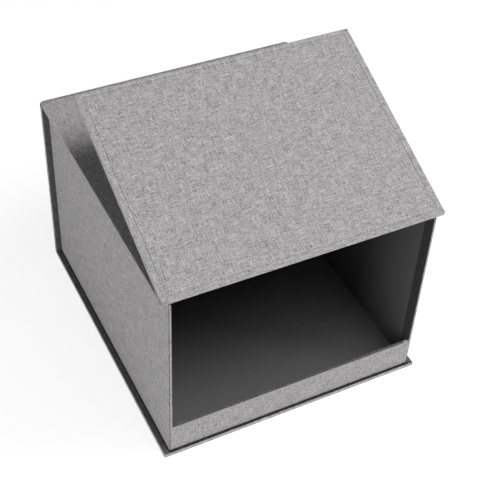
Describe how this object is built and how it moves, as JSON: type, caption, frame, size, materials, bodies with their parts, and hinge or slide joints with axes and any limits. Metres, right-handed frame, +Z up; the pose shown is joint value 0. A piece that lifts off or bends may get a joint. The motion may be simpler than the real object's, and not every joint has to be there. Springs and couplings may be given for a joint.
{
  "type": "photo storage box",
  "caption": "Cloth-covered box for photo prints: open-fronted tray with a low lip, glued into a wrap-around case whose hinged lid ends in a fold-over front flap.",
  "frame": {"origin": "middle of the base's underside, on the surface that the box stands on", "axes": "+Z up, +Y from the open front to the spine, +X to the right seen from the front"},
  "size_m": [0.173, 0.1921, 0.181],
  "materials": {
    "canvas": "matte",
    "charcoal_cloth": "matte",
    "charcoal_paper": "matte",
    "greyboard": "matte"
  },
  "bodies": {
    "box": {"base_board": "greyboard", "base_outer_cloth": "canvas", "base_inner_cloth": "charcoal_cloth", "base_spine_joint_cloth": "canvas", "spine_board": "greyboard", "spine_outer_cloth": "canvas", "spine_inner_cloth": "charcoal_cloth", "tray_floor_board": "greyboard", "left_wall_board": "greyboard", "right_wall_board": "greyboard", "rear_wall_board": "greyboard", "front_lip_board": "greyboard", "left_wall_cloth": "canvas", "right_wall_cloth": "canvas", "rear_wall_cloth": "canvas", "front_lip_cloth": "canvas", "left_turn_in": "charcoal_cloth", "right_turn_in": "charcoal_cloth", "floor_lining": "charcoal_paper", "left_wall_lining": "charcoal_paper", "right_wall_lining": "charcoal_paper", "rear_wall_lining": "charcoal_paper", "front_lip_lining": "charcoal_paper"},
    "lid": {"lid_board": "greyboard", "lid_outer_cloth": "canvas", "lid_lining": "charcoal_cloth", "spine_lid_joint_cloth": "canvas"},
    "flap": {"flap_board": "greyboard", "flap_outer_cloth": "canvas", "flap_liner": "canvas", "lid_flap_joint_cloth": "canvas"}
  },
  "joints": [
    {"name": "lid_hinge", "type": "hinge", "parent": "box", "child": "lid", "pos_m": [0, 0.09448, 0.128], "axis": [-1, 0, 0], "range_deg": [0, 180], "deforming": ["spine_lid_joint_cloth"]},
    {"name": "flap_hinge", "type": "hinge", "parent": "lid", "child": "flap", "pos_m": [0, -0.09548, 0.13162], "axis": [1, 0, 0], "range_deg": [0, 247.4], "deforming": ["lid_flap_joint_cloth"]}
  ]
}
